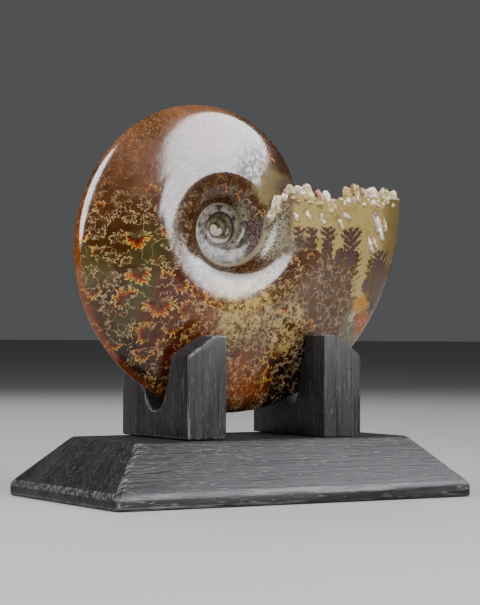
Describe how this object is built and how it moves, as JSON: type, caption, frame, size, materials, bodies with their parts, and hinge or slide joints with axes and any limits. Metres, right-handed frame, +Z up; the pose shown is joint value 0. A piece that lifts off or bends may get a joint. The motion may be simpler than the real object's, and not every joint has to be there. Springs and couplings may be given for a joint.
{
  "type": "polished ammonite fossil on a wooden stand",
  "caption": "Polished spiral ammonite shell standing upright on edge in two notched wooden cradles on a low base with sloping sides.",
  "frame": {"origin": "middle of the base's underside, on the surface the stand rests on", "axes": "+Z up; +X along the base, towards the shell's broken end; -Y faces the viewer"},
  "size_m": [0.14, 0.081, 0.1359],
  "materials": {
    "fossil_shell": "polished to a high gloss; brown and olive ground with thin cream suture lines, orange and yellow petals, and rough white and pink calcite on the broken end",
    "dark_wood": "dark satin stain with fine open pores and paler worn edges"
  },
  "bodies": {
    "root": {"ammonite": "fossil_shell", "stand_base": "dark_wood", "cradle_left": "dark_wood", "cradle_right": "dark_wood"}
  },
  "joints": []
}
